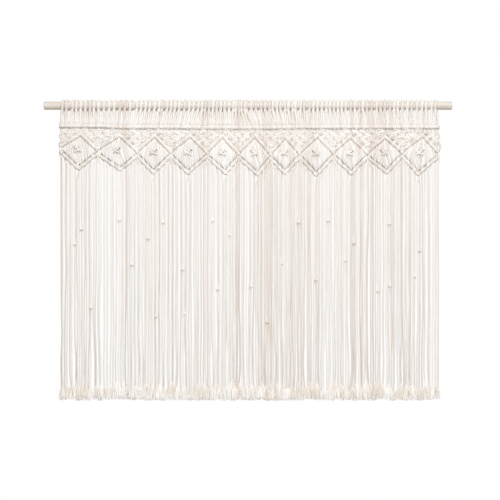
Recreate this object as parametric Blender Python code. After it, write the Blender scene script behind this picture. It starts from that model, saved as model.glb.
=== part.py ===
"""Macrame wall hanging on a wooden rod.

Metres, +Z up, with the front towards -Y. The origin is on the rod's axis, halfway along
it. Depths in the tables are measured straight down from that axis.
"""

import math
from collections import namedtuple

import bmesh
import bpy

MM = 0.001
PIECE_GAP = 0.3 * MM

# The wooden rod.
ROD_LENGTH = 1200 * MM
ROD_RADIUS = 12 * MM
ROD_SIDES = 32
ROD_CHAMFER = 1.2 * MM

# The cord, and the knotted work's left edge.
CORD = 4 * MM
LEFT_EDGE = -555 * MM
FIRST_CORNER = 125 * MM
STRANDS_A_DIAMOND = 16

# One row for each diamond, left to right: its width, how far across it the opening's upper
# and lower points lie, and the depths of those points and of the corner at its right.
Diamond = namedtuple("Diamond", "width peak_at tip_at peak tip corner")
DIAMONDS = [
    Diamond(111 * MM, 0.57, 0.50, 88 * MM, 172 * MM, 133 * MM),
    Diamond(118 * MM, 0.58, 0.58, 91 * MM, 175 * MM, 138 * MM),
    Diamond(98 * MM, 0.54, 0.49, 92 * MM, 184 * MM, 138 * MM),
    Diamond(107 * MM, 0.56, 0.48, 92 * MM, 185 * MM, 140 * MM),
    Diamond(93 * MM, 0.51, 0.59, 93 * MM, 185 * MM, 143 * MM),
    Diamond(95 * MM, 0.53, 0.59, 92 * MM, 189 * MM, 145 * MM),
    Diamond(85 * MM, 0.52, 0.48, 94 * MM, 185 * MM, 142 * MM),
    Diamond(99 * MM, 0.54, 0.50, 92 * MM, 190 * MM, 140 * MM),
    Diamond(100 * MM, 0.52, 0.53, 95 * MM, 186 * MM, 142 * MM),
    Diamond(102 * MM, 0.53, 0.56, 96 * MM, 183 * MM, 138 * MM),
    Diamond(110 * MM, 0.57, 0.44, 91 * MM, 188 * MM, 141 * MM),
]

# The cords folded over the rod. Each has a front leg and a back leg, one strand wide at
# the rod, and two strands wide together in the bar.
LOOP_HALF_WIDTH = 2.3 * MM
FOOT_HALF_WIDTH = CORD
LOOP_CORNERS = 6
LOOP_STEP = math.radians(45)

# How far the loops lean to the right of their feet, at shares of the work's width.
LEANS = (
    (0.00, -1 * MM), (0.04, 6 * MM), (0.09, 1 * MM), (0.20, 6 * MM), (0.30, 5 * MM),
    (0.38, 1 * MM), (0.47, -1 * MM), (0.53, -6 * MM), (0.60, -1 * MM), (1.00, 0),
)

# The straight horizontal bar.
BAR_TOP = 55.5 * MM
BAR_BOTTOM = 67.5 * MM
BAR_BACK = 4.6 * MM
BAR_FRONT_LOW = 4.2 * MM
BAR_FRONT_HIGH = 6.4 * MM

# The slanting bars, each one row of hitches. The lower row is parted lengthwise: its upper
# half belongs to the knotted work, and its lower half holds the fringe.
BAR_HEIGHT = 15.6 * MM
HALF_ROW_HEIGHT = BAR_HEIGHT / 2
ROW_OVERLAP = 4 * MM
RIDGE = 5.6 * MM
SHOULDER = 4.4 * MM
STRAND_HOLD = 4 * MM

# The triangles of square knots between the horizontal bar and the upper slanting bar.
KNOT_ROWS = 4
FIRST_KNOT_ROW = 74.5 * MM
KNOT_ROW_PITCH = 12.9 * MM
NET_TOP = 62 * MM
NET_FACE = 2.2 * MM
NET_BACK = 2.6 * MM
KNOT_RISE = 3.2 * MM
SEAM = 1 * MM

# The strands, in pairs, and the centre knots inside the diamonds.
PAIR_RADIUS = 3.2 * MM
PAIR_PLACES = (0.36, 0.62)
MIDDLE_PAIR_AT_KNOT = 4.4 * MM
MIDDLE_PAIR_AT_BAR = 6 * MM
MIDDLE_PAIR_HOLD = 3 * MM
CENTRE_KNOT_HALF_WIDTH = 11 * MM
CENTRE_KNOT_HALF_HEIGHT = 10 * MM
CENTRE_KNOT_FACE = 3.6 * MM
CENTRE_KNOT_BACK = 3 * MM
CENTRE_KNOT_RISE = 2.6 * MM

# The fringe. Its ends are uneven by a wave that steps on from strand to strand, and its
# strands sway together in a slow wave across the width.
FRINGE_END = 869 * MM
FRINGE_UNEVEN = 5 * MM
FRINGE_UNEVEN_STEP = 2.1
FRAY_LENGTH = 36 * MM
STRAND_RADIUS = 2.5 * MM
STRAND_LAYER = 2.7 * MM
FRAY_SPREAD = 1.75
FRINGE_SPREAD = 1.008
FRINGE_SWAY = 2.5 * MM
FRINGE_SWAY_WIDTH = 90 * MM


def diamond_layout():
    """(x, depth) of the diamonds' corners, upper points and lower points, left to right."""
    x = LEFT_EDGE
    corners = [(x, FIRST_CORNER)]
    peaks = []
    tips = []
    for row in DIAMONDS:
        peaks.append((x + row.width * row.peak_at, row.peak))
        tips.append((x + row.width * row.tip_at, row.tip))
        x += row.width
        corners.append((x, row.corner))
    return corners, peaks, tips


CORNERS, PEAKS, TIPS = diamond_layout()
RIGHT_EDGE = CORNERS[-1][0]
MIDDLE = (LEFT_EDGE + RIGHT_EDGE) / 2


def places_along(per_diamond):
    """Evenly shared places inside each diamond's width, for cords or strands."""
    places = []
    for (x, _), row in zip(CORNERS, DIAMONDS):
        for i in range(per_diamond):
            places.append(x + row.width * (i + 0.5) / per_diamond)
    return places


def zigzag(turns, corner_shift, turn_shift):
    """A slanting line from corner to corner over the turns between, as (x, depth) points."""
    points = []
    for i, (x, depth) in enumerate(CORNERS):
        points.append((x, depth + corner_shift))
        if i < len(turns):
            turn_x, turn_depth = turns[i]
            points.append((turn_x, turn_depth + turn_shift))
    return points


def depth_on(line, x):
    """Depth of a zigzag line at x."""
    for (x0, d0), (x1, d1) in zip(line, line[1:]):
        if x <= x1:
            return d0 + (d1 - d0) * (x - x0) / (x1 - x0)
    return line[-1][1]


def x_on(start, end, depth):
    """Where the straight line between two (x, depth) points reaches a depth."""
    (x0, d0), (x1, d1) = start, end
    return x0 + (x1 - x0) * (depth - d0) / (d1 - d0)


def make_material(name, colour, roughness):
    material = bpy.data.materials.new(name)
    material.use_nodes = True
    shader = material.node_tree.nodes["Principled BSDF"]
    shader.inputs["Base Color"].default_value = (*colour, 1.0)
    shader.inputs["Roughness"].default_value = roughness
    shader.inputs["Metallic"].default_value = 0.0
    return material


def make_object(name, bm, material):
    bmesh.ops.recalc_face_normals(bm, faces=bm.faces[:])
    mesh = bpy.data.meshes.new(name)
    bm.to_mesh(mesh)
    bm.free()
    mesh.materials.append(material)
    piece = bpy.data.objects.new(name, mesh)
    bpy.context.collection.objects.link(piece)
    return piece


def join_to(piece, other):
    """Fuses another closed mesh into a piece and hides the other as a guide."""
    union = piece.modifiers.new("join_" + other.name, "BOOLEAN")
    union.operation = "UNION"
    union.solver = "EXACT"
    union.object = other
    other.hide_render = True
    other.hide_set(True)
    other.display_type = "WIRE"


def loft(bm, sections):
    """Skins a row of equal loops of points, with caps on both ends."""
    rings = [[bm.verts.new(point) for point in section] for section in sections]
    for ring, after in zip(rings, rings[1:]):
        for i in range(len(ring)):
            j = (i + 1) % len(ring)
            bm.faces.new((ring[i], ring[j], after[j], after[i]))
    bm.faces.new(rings[0])
    bm.faces.new(rings[-1])


def build_rod():
    bm = bmesh.new()
    sections = []
    for x in (-ROD_LENGTH / 2, ROD_LENGTH / 2):
        turn = [2 * math.pi * i / ROD_SIDES for i in range(ROD_SIDES)]
        sections.append([(x, ROD_RADIUS * math.cos(a), ROD_RADIUS * math.sin(a)) for a in turn])
    loft(bm, sections)
    rod = make_object("rod", bm, make_material("pale_wood", (0.72, 0.60, 0.50), 0.6))
    chamfer = rod.modifiers.new("end_chamfer", "BEVEL")
    chamfer.width = ROD_CHAMFER
    chamfer.segments = 1
    chamfer.limit_method = "ANGLE"
    chamfer.angle_limit = math.radians(60)
    rod.data.shade_smooth()
    rod.data.set_sharp_from_angle(angle=math.radians(40))
    return rod


def lean_at(share):
    """The loops' lean at a share of the work's width."""
    for (share0, lean0), (share1, lean1) in zip(LEANS, LEANS[1:]):
        if share <= share1:
            return lean0 + (lean1 - lean0) * (share - share0) / (share1 - share0)
    return LEANS[-1][1]


def add_loop(bm, x, front_foot, back_foot):
    """One cord folded over the rod, from one foot in the bar's top face to the other.

    A foot is four corners of the bar: inner left, inner right, outer right, outer left.
    """
    flat = ROD_RADIUS + PIECE_GAP
    inner = flat / math.cos(LOOP_STEP / 2)
    outer = (flat + CORD) / math.cos(LOOP_STEP / 2)
    sections = [front_foot]
    for i in range(LOOP_CORNERS):
        angle = (i - 0.5) * LOOP_STEP
        section = []
        for side, radius in ((-1, inner), (1, inner), (1, outer), (-1, outer)):
            y = -radius * math.cos(angle)
            z = radius * math.sin(angle)
            section.append(bm.verts.new((x + side * LOOP_HALF_WIDTH, y, z)))
        sections.append(section)
    sections.append(back_foot)
    for section, after in zip(sections, sections[1:]):
        for j in range(4):
            k = (j + 1) % 4
            bm.faces.new((section[j], section[k], after[k], after[j]))


def build_heading(cotton):
    """The folded cords and the horizontal bar, as one closed mesh."""
    bm = bmesh.new()
    places = places_along(STRANDS_A_DIAMOND // 2)
    sections = [(LEFT_EDGE, BAR_FRONT_LOW)]
    for x in places:
        sections.append((x - FOOT_HALF_WIDTH, BAR_FRONT_LOW))
        sections.append((x + FOOT_HALF_WIDTH, BAR_FRONT_HIGH))
    sections.append((RIGHT_EDGE, BAR_FRONT_LOW))
    rings = []
    for x, front in sections:
        outline = (
            (x, -front, -BAR_TOP),
            (x, 0, -BAR_TOP),
            (x, BAR_BACK, -BAR_TOP),
            (x, BAR_BACK, -BAR_BOTTOM),
            (x, -front, -BAR_BOTTOM),
        )
        rings.append([bm.verts.new(point) for point in outline])
    for i, (ring, after) in enumerate(zip(rings, rings[1:])):
        under_a_cord = i % 2 == 1
        for j in range(5):
            k = (j + 1) % 5
            if j < 2 and under_a_cord:
                continue
            bm.faces.new((ring[j], ring[k], after[k], after[j]))
    bm.faces.new(rings[0])
    bm.faces.new(rings[-1])
    for n, x in enumerate(places):
        left = rings[2 * n + 1]
        right = rings[2 * n + 2]
        lean = lean_at((x - LEFT_EDGE) / (RIGHT_EDGE - LEFT_EDGE))
        front_foot = [left[1], right[1], right[0], left[0]]
        back_foot = [left[1], right[1], right[2], left[2]]
        add_loop(bm, x + lean, front_foot, back_foot)
    return make_object("macrame", bm, cotton)


def slanting_bar(name, top_line, bottom_line, profile, material):
    """A bar along two zigzag lines. The profile's rows are (y, share of the height)."""
    bm = bmesh.new()
    sections = []
    for (x, top), (_, bottom) in zip(top_line, bottom_line):
        sections.append([(x, y, -(bottom + (top - bottom) * share)) for y, share in profile])
    loft(bm, sections)
    return make_object(name, bm, material)


WHOLE_ROW = (
    (0, 1.0), (-SHOULDER, 0.8), (-RIDGE, 0.5), (-SHOULDER, 0.2),
    (0, 0.0), (SHOULDER, 0.2), (RIDGE, 0.5), (SHOULDER, 0.8),
)
UPPER_HALF = ((0, 1.0), (-SHOULDER, 0.6), (-RIDGE, 0.0), (RIDGE, 0.0), (SHOULDER, 0.6))
LOWER_HALF = ((-RIDGE, 1.0), (-SHOULDER, 0.4), (0, 0.0), (SHOULDER, 0.4), (RIDGE, 1.0))

UPPER_TOP = zigzag(PEAKS, -BAR_HEIGHT, -BAR_HEIGHT)
UPPER_MIDDLE = zigzag(PEAKS, -BAR_HEIGHT / 2, -BAR_HEIGHT / 2)
UPPER_BOTTOM = zigzag(PEAKS, 0, 0)
LOWER_TOP = zigzag(TIPS, -ROW_OVERLAP, 0)
LOWER_PART_LINE = zigzag(TIPS, HALF_ROW_HEIGHT - ROW_OVERLAP, HALF_ROW_HEIGHT)

# Straight down, the gap in the lower row is 1.7 times as wide, because the row slants at
# up to 52 degrees.
ROOT_TOP = [(x, depth + 1.7 * PIECE_GAP) for x, depth in LOWER_PART_LINE]
ROOT_BOTTOM = [(x, depth + HALF_ROW_HEIGHT) for x, depth in ROOT_TOP]


def add_net(bm, i):
    """A triangle of alternating square knots that hangs from the bar to corner i."""
    corner_x, _ = CORNERS[i]
    has_left = i > 0
    has_right = i < len(PEAKS)
    left_x = UPPER_MIDDLE[2 * i - 1][0] + SEAM if has_left else corner_x
    right_x = UPPER_MIDDLE[2 * i + 1][0] - SEAM if has_right else corner_x
    grid = {}

    def place(row, j, count, depth):
        """x of a grid point. The last one on each side lies inside the slanting bar."""
        if j == 0:
            return corner_x
        end = left_x if j < 0 else right_x
        neighbour = 2 * i - 1 if j < 0 else 2 * i + 1
        if abs(j) == count and row > 0:
            return x_on(UPPER_MIDDLE[neighbour], UPPER_MIDDLE[2 * i], depth)
        return corner_x + (end - corner_x) * abs(j) / KNOT_ROWS

    for row in range(-1, KNOT_ROWS + 1):
        count = KNOT_ROWS - max(row, 0)
        depth = NET_TOP if row < 0 else FIRST_KNOT_ROW + KNOT_ROW_PITCH * row
        first = -count if has_left else 0
        last = count if has_right else 0
        for j in range(first, last + 1):
            is_knot = row >= 0 and (j + count) % 2 == 1
            y = -(NET_FACE + KNOT_RISE) if is_knot else -NET_FACE
            grid[row, j] = bm.verts.new((place(row, j, count, depth), y, -depth))

    faces = []
    for row in range(-1, KNOT_ROWS):
        count = KNOT_ROWS - max(row, 0)
        for j in range(-count, count):
            above = (row, j), (row, j + 1)
            below = (row + 1, j), (row + 1, j + 1)
            there = [key for key in (*above, *reversed(below)) if key in grid]
            if len(there) == 4:
                low_first = (j + count) % 2 == 0
                a, b, c, d = (grid[key] for key in there)
                split = ((a, b, c), (a, c, d)) if low_first else ((a, b, d), (b, c, d))
                faces += [bm.faces.new(corners) for corners in split]
            elif len(there) == 3 and all(key in grid for key in above):
                faces.append(bm.faces.new([grid[key] for key in there]))
    return faces


def thicken(bm, faces, back):
    """Gives an open patch a flat back at y = back, and side walls."""
    region = bmesh.ops.extrude_face_region(bm, geom=faces)
    moved = [item for item in region["geom"] if isinstance(item, bmesh.types.BMVert)]
    for vert in moved:
        vert.co.y = back
    flat = [face for face in bm.faces if all(abs(v.co.y - back) < 1e-7 for v in face.verts)]
    bmesh.ops.dissolve_faces(bm, faces=flat, use_verts=True)


def build_nets(cotton):
    patches = []
    for i in range(len(CORNERS)):
        bm = bmesh.new()
        thicken(bm, add_net(bm, i), NET_BACK)
        patches.append(make_object("net_%02d" % i, bm, cotton))
    return merged("nets", patches, cotton)


def merged(name, pieces, material):
    """Collects separate closed pieces that don't touch each other into one mesh."""
    bm = bmesh.new()
    for piece in pieces:
        bm.from_mesh(piece.data)
        mesh = piece.data
        bpy.data.objects.remove(piece)
        bpy.data.meshes.remove(mesh)
    return make_object(name, bm, material)


def add_strand(bm, points, radius, facing):
    """A three-sided strand through (x, y, z, spread) points, one flat towards the wall."""
    sections = []
    for x, y, z, spread in points:
        section = []
        for corner in range(3):
            angle = math.radians(90 + 120 * corner)
            across = radius * spread * math.cos(angle)
            forward = radius * math.sin(angle) * facing
            section.append((x + across, y - forward, z))
        sections.append(section)
    loft(bm, sections)


def centre_of(i):
    """(x, depth) of the middle of diamond i's opening."""
    (peak_x, peak), (tip_x, tip) = PEAKS[i], TIPS[i]
    return (peak_x + tip_x) / 2, (peak + tip) / 2


def held_end(line, x, hold):
    """A strand's end at x, buried in the slanting bar behind the line."""
    return (x, 0, -(depth_on(line, x) + hold), 1)


def build_diamond_strands(cotton):
    """Pairs of strands inside the diamonds, from the upper bar to the lower bar."""
    bm = bmesh.new()
    for i in range(len(PEAKS)):
        peak_x = PEAKS[i][0]
        tip_x = TIPS[i][0]
        knot_x, knot_depth = centre_of(i)
        for side, corner_x in ((-1, CORNERS[i][0]), (1, CORNERS[i + 1][0])):
            for share in PAIR_PLACES:
                top_x = peak_x + (corner_x - peak_x) * share
                bottom_x = tip_x + (corner_x - tip_x) * share
                top = held_end(UPPER_BOTTOM, top_x, -STRAND_HOLD)
                bottom = held_end(LOWER_TOP, bottom_x, STRAND_HOLD)
                add_strand(bm, (top, bottom), PAIR_RADIUS, 1)
            at_knot = knot_x + side * MIDDLE_PAIR_AT_KNOT
            top = held_end(UPPER_BOTTOM, peak_x + side * MIDDLE_PAIR_AT_BAR, -STRAND_HOLD)
            bottom = held_end(LOWER_TOP, tip_x + side * MIDDLE_PAIR_AT_BAR, STRAND_HOLD)
            for end, hold in ((top, -MIDDLE_PAIR_HOLD), (bottom, MIDDLE_PAIR_HOLD)):
                inside_knot = (at_knot, 0, -(knot_depth + hold), 1)
                add_strand(bm, (end, inside_knot), PAIR_RADIUS, 1)
    return make_object("diamond_strands", bm, cotton)


def build_centre_knots(cotton):
    """A group of four small square knots, one, two and one, in each diamond."""
    pieces = []
    for n in range(len(PEAKS)):
        bm = bmesh.new()
        x, centre = centre_of(n)
        points = {}
        for column in range(-2, 3):
            for line in range(-2, 3):
                if abs(column) + abs(line) > 2:
                    continue
                raised = (column + line) % 2 == 1
                y = -(CENTRE_KNOT_FACE + (CENTRE_KNOT_RISE if raised else 0))
                point = (
                    x + column * CENTRE_KNOT_HALF_WIDTH / 2,
                    y,
                    -centre + line * CENTRE_KNOT_HALF_HEIGHT / 2,
                )
                points[column, line] = bm.verts.new(point)
        faces = []
        for column, line in ((0, 1), (0, -1), (1, 0), (-1, 0)):
            around = ((1, 0), (0, 1), (-1, 0), (0, -1))
            rim = [points[column + a, line + b] for a, b in around]
            for a, b in zip(rim, rim[1:] + rim[:1]):
                faces.append(bm.faces.new((points[column, line], a, b)))
        thicken(bm, faces, CENTRE_KNOT_BACK)
        pieces.append(make_object("centre_knot_%02d" % n, bm, cotton))
    return merged("centre_knots", pieces, cotton)


def build_macrame(cotton):
    macrame = build_heading(cotton)
    join_to(macrame, build_nets(cotton))
    join_to(macrame, slanting_bar("upper_bar", UPPER_TOP, UPPER_BOTTOM, WHOLE_ROW, cotton))
    join_to(macrame, slanting_bar("lower_bar", LOWER_TOP, LOWER_PART_LINE, UPPER_HALF, cotton))
    join_to(macrame, build_diamond_strands(cotton))
    join_to(macrame, build_centre_knots(cotton))
    return macrame


def build_fringe(cotton):
    """Loose strands in two layers, with frayed ends, on the lower half of the lower bar."""
    fringe = slanting_bar("fringe", ROOT_TOP, ROOT_BOTTOM, LOWER_HALF, cotton)
    bm = bmesh.new()
    for n, x in enumerate(places_along(STRANDS_A_DIAMOND)):
        facing = 1 if n % 2 == 0 else -1
        y = -STRAND_LAYER * facing
        root = depth_on(ROOT_TOP, x) + HALF_ROW_HEIGHT / 2
        end = FRINGE_END - FRINGE_UNEVEN * (1 + math.sin(FRINGE_UNEVEN_STEP * n)) / 2
        below = MIDDLE + (x - MIDDLE) * FRINGE_SPREAD
        sway = FRINGE_SWAY * math.sin(x / FRINGE_SWAY_WIDTH)
        halfway = (root + end) / 2
        points = (
            (x, y, -root, 1),
            ((x + below) / 2 + sway, y, -halfway, 1),
            (below - sway / 2, y, -(end - FRAY_LENGTH), 1),
            (below, y, -end, FRAY_SPREAD),
        )
        add_strand(bm, points, STRAND_RADIUS, facing)
    join_to(fringe, make_object("strands", bm, cotton))
    return fringe


def main():
    for old in list(bpy.data.objects):
        bpy.data.objects.remove(old, do_unlink=True)
    cotton = make_material("cotton_cord", (0.87, 0.83, 0.77), 0.9)
    build_rod()
    build_macrame(cotton)
    build_fringe(cotton.copy())


main()
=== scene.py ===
"""The looks of the macrame wall hanging: undyed cotton cord knotted on a pine dowel.

Sizes are in millimetres until a mesh is made. The origin is on the dowel's axis, halfway
along it. X runs to the right, Y away from the viewer, and Z up.
"""

import math
import random
from collections import namedtuple

import bpy
import numpy as np
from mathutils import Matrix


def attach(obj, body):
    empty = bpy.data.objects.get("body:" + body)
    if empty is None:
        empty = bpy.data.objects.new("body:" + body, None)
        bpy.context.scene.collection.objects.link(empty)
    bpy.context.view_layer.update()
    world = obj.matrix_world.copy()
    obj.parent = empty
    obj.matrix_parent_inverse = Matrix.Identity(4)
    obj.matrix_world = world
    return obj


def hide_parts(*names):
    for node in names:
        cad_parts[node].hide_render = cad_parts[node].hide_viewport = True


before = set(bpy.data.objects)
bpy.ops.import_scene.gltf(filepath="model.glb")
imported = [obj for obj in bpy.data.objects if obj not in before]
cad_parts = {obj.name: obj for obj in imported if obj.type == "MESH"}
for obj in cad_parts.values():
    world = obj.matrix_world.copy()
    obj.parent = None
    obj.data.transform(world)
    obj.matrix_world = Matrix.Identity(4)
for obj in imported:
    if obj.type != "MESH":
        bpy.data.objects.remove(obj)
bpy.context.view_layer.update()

MM = 0.001

# The dowel.
DOWEL_LENGTH = 1200
DOWEL_RADIUS = 12
DOWEL_CHAMFER = 1.2

# The cord: three plies of combed cotton, and the length of one full turn of their twist.
# On the dowel it is pressed flat and wide. A round tube can't be, so there it is drawn
# thicker, and sunk into the dowel and its neighbours.
CORD_RADIUS = 2.2
PRESSED_RADIUS = 4.5
CORD_SIDES = 8
PLIES = 3
LAY_LENGTH = 14

# The knotted work's left edge, and a row for each diamond from left to right: its width,
# how far across it the opening's upper and lower points lie, and the depths of those
# points and of the corner at its right.
LEFT_EDGE = -555
FIRST_CORNER = 125
Diamond = namedtuple("Diamond", "width peak_at tip_at peak tip corner")
DIAMONDS = [
    Diamond(111, 0.57, 0.50, 88, 172, 133),
    Diamond(118, 0.58, 0.58, 91, 175, 138),
    Diamond(98, 0.54, 0.49, 92, 184, 138),
    Diamond(107, 0.56, 0.48, 92, 185, 140),
    Diamond(93, 0.51, 0.59, 93, 185, 143),
    Diamond(95, 0.53, 0.59, 92, 189, 145),
    Diamond(85, 0.52, 0.48, 94, 185, 142),
    Diamond(99, 0.54, 0.50, 92, 190, 140),
    Diamond(100, 0.52, 0.53, 95, 186, 142),
    Diamond(102, 0.53, 0.56, 96, 183, 138),
    Diamond(110, 0.57, 0.44, 91, 188, 141),
]

# The strands of a diamond. The middle two lead its upper bars, and the other seven a side
# are hitched to them.
STRANDS = 16
HALF = STRANDS // 2
HITCHES_A_SIDE = HALF - 1

# The cords folded over the dowel, and how far they lean to the right of their feet, at
# shares of the work's width. Each fold strays from this by up to its own lean, and from
# the pressed radius by its own thickness.
FOLD_RADIUS = DOWEL_RADIUS + 1.5
# The folds on the dowel get this much painted shade.
FOLD_PAINTED_SHADE = 0.17
LEG_HALF_SPACING = 2.6
LEANS = (
    (0.00, 3), (0.04, 6), (0.09, 1), (0.14, 1), (0.20, 8), (0.25, 11), (0.30, 8),
    (0.35, 12), (0.41, 2), (0.46, 4), (0.51, -15), (0.56, -7), (0.62, -5), (0.67, 0),
    (0.78, -5), (1.00, -2),
)
OWN_LEAN = 2.0
OWN_THICKNESS = (0.85, 1.15)

# How each half of a fold grips the dowel: the angle round it, and the share of its half
# spacing that it stands aside. The back half then comes forward under the dowel, past two
# points (y, z). Last is each half's way down to its foot at the bar: share of the way, and
# radius.
GRIP = ((90, 0), (68, 0.15), (45, 0.4), (22, 0.7), (0, 0.9), (-18, 1), (-42, 1))
UNDER_DOWEL = ((4.4, -14.2), (-1.0, -17))
UNDER_RADIUS = 3.2
FRONT_LEG = ((0.1, 4.5), (0.3, 3.5), (0.6, 2.6), (0.85, 2.4))
BACK_LEG = ((0.12, 3.4), (0.35, 3.2), (0.6, 2.6), (0.85, 2.4))
FOOT_ASIDE = 1.2
FOOT_RISE = 6

# The bars of double half hitches. The level one sags by a little at shares of the width.
BAR_DEPTH = 63.0
BAR_SAG = (
    (0, -3), (0.11, -3), (0.15, 0), (0.32, 0.3), (0.38, 1.5), (0.55, 1.8), (0.62, 0.2),
    (1, 0),
)
BAR_OVERHANG = 1.5
# The level bar's hitches get this much painted shade.
BAR_PAINTED_SHADE = 0.12

# The slanted bars' middle lines: how far the upper ones lie above the diamond's corners
# and upper point, and to their left, and how far the lower ones lie below its corners and
# its lower point. At the work's edges they stop a little short.
UPPER_BAR_RISE = 5.1
UPPER_BAR_SHIFT = 1.2
LOWER_BAR_DROP = 8.2
TIP_DROP = 12.2
EDGE_INSET = 2.5

# A hitch wraps its strand twice round a leading cord, with a point at every 60 degrees. The
# wraps are as thick as closes the gaps between them, within what the cord can be pulled to.
HITCH_RADIUS = 4.2
WRAP_ANGLES = range(60, 841, 60)
MIDDLE_ANGLE = 450
WRAP_OVERLAP = 0.5
THINNEST_WRAP = 1.7
THICKEST_WRAP = 2.8

# Where two leading cords cross, a little above the diamonds' corner, one is hitched round
# the other on this slant (x, z).
CROSSING_RISE = 2
CROSSING_SLANT = (0.66, -0.75)
CROSSING_ROOM = 7.0

# The creases along a bar get painted shade, this far from its middle line and a little
# nearer above it. It is painted wider and darker than their real shade, too fine to show.
CREASE_AT = 6.4
CREASE_NEARER_ABOVE = 0.6
CREASE_WIDTH = 1.4
CREASE_SHADE_ON_RISING_BAR = 0.75
DARKEST_CREASE_SHADE = 1.25

# The strands from the folds' front halves get less painted shade in the creases than those
# behind.
FRONT_CREASE_SHADE = (0, 0.6)
BACK_CREASE_SHADE = (1.1, 2.3)

# How much darker than the rest a strand may be, as painted shade drawn at random, in the
# hitches, inside the diamonds, in the net's knots, and in the front and the back of the
# fringe.
HITCH_PAINTED_SHADE = 0.14
INSIDE_PAINTED_SHADE = 0.18
NET_PAINTED_SHADE = 0.24
FRONT_PAINTED_SHADE = (0, 0.1)
BACK_PAINTED_SHADE = (0.04, 0.2)

# The square knots: the width that their shapes below fill, and how thick and how pulled
# their strands are. Those of the net are flat, in rows of 4, 3, 2 and 1 under the level
# bar. The one in each diamond is round, and stands a little off the opening's middle.
KNOT_STRANDS = 4
KNOT_WIDTH = 24.0
KNOT_RADIUS = 3.5
KNOT_PULL = 0.7
NET_FLATNESS = 0.3
NET_ROWS = 4
FIRST_KNOT_ROW = 74.5
KNOT_ROW_PITCH = 12.9
CENTRE_STRANDS = (5, 6, 9, 10)
CENTRE_KNOT_WIDTH = 25.0
CENTRE_KNOT_OFFSET = (-2, -2.2, 1)
# The knot in each diamond gets this much painted shade all over, and painted shade in its
# creases as dark as a random amount between these.
CENTRE_KNOT_PAINTED_SHADE = 0.12
CENTRE_KNOT_CREASE_SHADE = (0.5, 1.5)

# The strands inside the diamonds: five a side hang free of the knot there. They fill the
# diamond, so they are drawn thick. The further apart the bars are, the more they spread
# beside the knot: from this room, over so much more, up to a share of the way.
FREE_A_SIDE = 5
FREE_RADIUS = 3.2
SPREAD_FROM = 20
SPREAD_OVER = 60
MOST_SPREAD = 0.35
OUTERMOST_SHIFT = 1.2

# Where the bars are far enough apart, the strands bulge forward to this y, and hang loose
# above the lower bar: share of the way back to the upper hitch, y, height above the lower
# one, and whether they get the strand's painted shade there.
OPEN_ROOM = 30
OPEN_Y = -2.4
CLOSED_Y = 0.5
LOOSE_RADIUS = 2.6
LOOSE_POINTS = ((0.04, -2.6, 11.5, 1), (0, 1.0, 7.6, 0))
LOWER_HITCH_DROP = (-0.2, 2.0)

# The fringe: how low it hangs, how uneven it is cut, how long its ends are combed out, how
# near strands hang once they have closed up, where they leave the bar's spacing and in what
# height, the steps that they are drawn in, and how far in front or behind they hang.
FRINGE_END = 869
FRINGE_UNEVEN = 7
FRAY_SHORT = 26
FRAY_LONG = 52
NEAREST = 4.4
SETTLES_AFTER = 4
SETTLING = 24
FRINGE_STEP = 40
FRINGE_SIDES = 7
FRINGE_LAYER = 2.1

# The locks that each end is combed out to. A real end opens into thousands of fibres, too
# fine to show, so a few locks stand for them. Their spread is (x, y), they hang a little
# forward, and they start a little way up inside the strand.
LOCKS_AN_END = 11
LOCK_SIDES = 5
LOCK_RADIUS = 1.35
LOCK_TIP_RADIUS = 0.7
LOCK_SPREAD = (7.4, 3.2)
LOCK_ROOT_SPREAD = 1.1
LOCK_FORWARD = 2.5
LOCK_OVERLAP = 2
LOCK_SHARES = (0, 0.25, 0.55, 0.8, 1.0)
GOLDEN_TURN = 0.618

shake = random.Random(41)


def jitter(amount):
    """A random amount of unevenness, to either side."""
    return shake.uniform(-amount, amount)


def clamp(value, low=0, high=1):
    return min(max(value, low), high)


def ease(share):
    """A share from 0 to 1 that starts and ends gently."""
    return share * share * (3 - 2 * share)


def diamond_layout():
    """(x, depth) of the diamonds' corners, upper points and lower points."""
    x = LEFT_EDGE
    corners = [(x, FIRST_CORNER)]
    peaks = []
    tips = []
    for row in DIAMONDS:
        peaks.append((x + row.width * row.peak_at, row.peak))
        tips.append((x + row.width * row.tip_at, row.tip))
        x += row.width
        corners.append((x, row.corner))
    return corners, peaks, tips


CORNERS, PEAKS, TIPS = diamond_layout()
RIGHT_EDGE = CORNERS[-1][0]
WIDTH = RIGHT_EDGE - LEFT_EDGE
COUNT = len(DIAMONDS)
BAR_LINE = np.array(
    [(LEFT_EDGE + share * WIDTH, BAR_DEPTH + sag) for share, sag in BAR_SAG]
)


# ---------------------------------------------------------------------------------------
# Routes. A route is a list of points on a cord's middle line. The parts are how many short
# pieces the cord is made of on the way to the next point. Its painted shade, from 0 to 1 or
# a little more, is how deep in shade it lies, in a knot's crease or behind other cord,
# painted into its colour as darkness. The pull says how hard it is pulled, from 0 to 1, and
# deepens the grooves between its plies.
# ---------------------------------------------------------------------------------------

Point = namedtuple(
    "Point", "x y z radius parts tuck pull", defaults=(CORD_RADIUS, 2, 0.0, 0.0)
)


def strand_place(n):
    """x of strand n in the level bar."""
    i, k = divmod(n, STRANDS)
    return CORNERS[i][0] + DIAMONDS[i].width * (k + 0.5) / STRANDS


def bar_depth(x):
    """Depth of the level bar's middle line."""
    return float(np.interp(x, BAR_LINE[:, 0], BAR_LINE[:, 1]))


def lean_at(share):
    """The folded cords' lean at a share of the work's width."""
    for (share0, lean0), (share1, lean1) in zip(LEANS, LEANS[1:]):
        if share <= share1:
            return lean0 + (lean1 - lean0) * (share - share0) / (share1 - share0)
    return LEANS[-1][1]


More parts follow.
